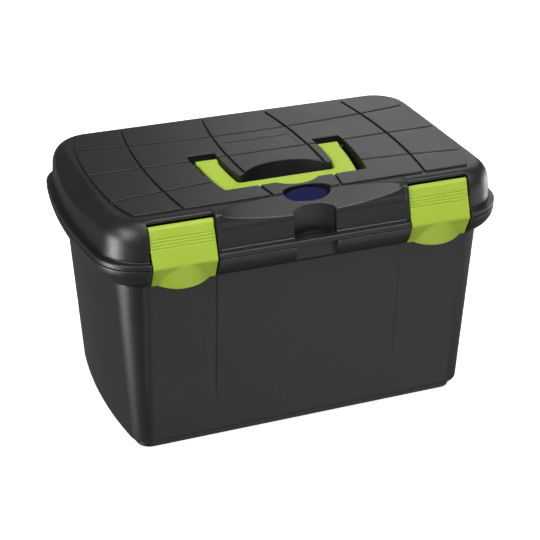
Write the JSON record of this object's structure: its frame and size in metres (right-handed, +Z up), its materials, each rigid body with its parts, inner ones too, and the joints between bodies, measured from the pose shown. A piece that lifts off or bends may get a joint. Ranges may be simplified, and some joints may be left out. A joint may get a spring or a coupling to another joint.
{
  "type": "grooming box",
  "caption": "Moulded plastic grooming box with a hinged tiled lid, flip-over latches, a folding carry handle and a sliding inner tray.",
  "frame": {"origin": "middle of the flat underside of the base", "axes": "+Z up, -Y towards the front with the latches, +X towards the right-hand latch seen from the front"},
  "size_m": [0.4, 0.2608, 0.24],
  "materials": {
    "charcoal_plastic": "fine spark-eroded grain, charcoal black",
    "lime_plastic": "satin lime green",
    "badge_enamel": "domed glossy navy",
    "pin_steel": "bright drawn wire",
    "tray_plastic": "fine grain, dark grey"
  },
  "bodies": {
    "tub": {"tub": "charcoal_plastic", "hinge_pin_left": "pin_steel", "hinge_pin_right": "pin_steel"},
    "lid": {"lid": "charcoal_plastic", "badge": "badge_enamel", "handle_pin_left": "pin_steel", "handle_pin_right": "pin_steel", "latch_pin_left": "pin_steel", "latch_pin_right": "pin_steel"},
    "handle": {"carry_handle": "lime_plastic"},
    "latch_left": {"latch_left": "lime_plastic"},
    "latch_right": {"latch_right": "lime_plastic"},
    "tray": {"tray": "tray_plastic", "tray_divider_long": "tray_plastic", "tray_divider_left": "tray_plastic", "tray_divider_right": "tray_plastic"}
  },
  "joints": [
    {"name": "lid_hinge", "type": "hinge", "parent": "tub", "child": "lid", "pos_m": [0, 0.1306, 0.1982], "axis": [-1, 0, 0], "range_deg": [0, 110]},
    {"name": "handle_fold", "type": "hinge", "parent": "lid", "child": "handle", "pos_m": [0, -0.0015, 0.2325], "axis": [-1, 0, 0], "range_deg": [0, 95]},
    {"name": "latch_left_flip", "type": "hinge", "parent": "lid", "child": "latch_left", "pos_m": [-0.122, -0.10923, 0.2277], "axis": [-1, 0, 0], "range_deg": [0, 100]},
    {"name": "latch_right_flip", "type": "hinge", "parent": "lid", "child": "latch_right", "pos_m": [0.122, -0.10923, 0.2277], "axis": [-1, 0, 0], "range_deg": [0, 100]},
    {"name": "tray_slide", "type": "slide", "parent": "tub", "child": "tray", "axis": [0, -1, 0], "range_m": [0, 0.104]}
  ]
}
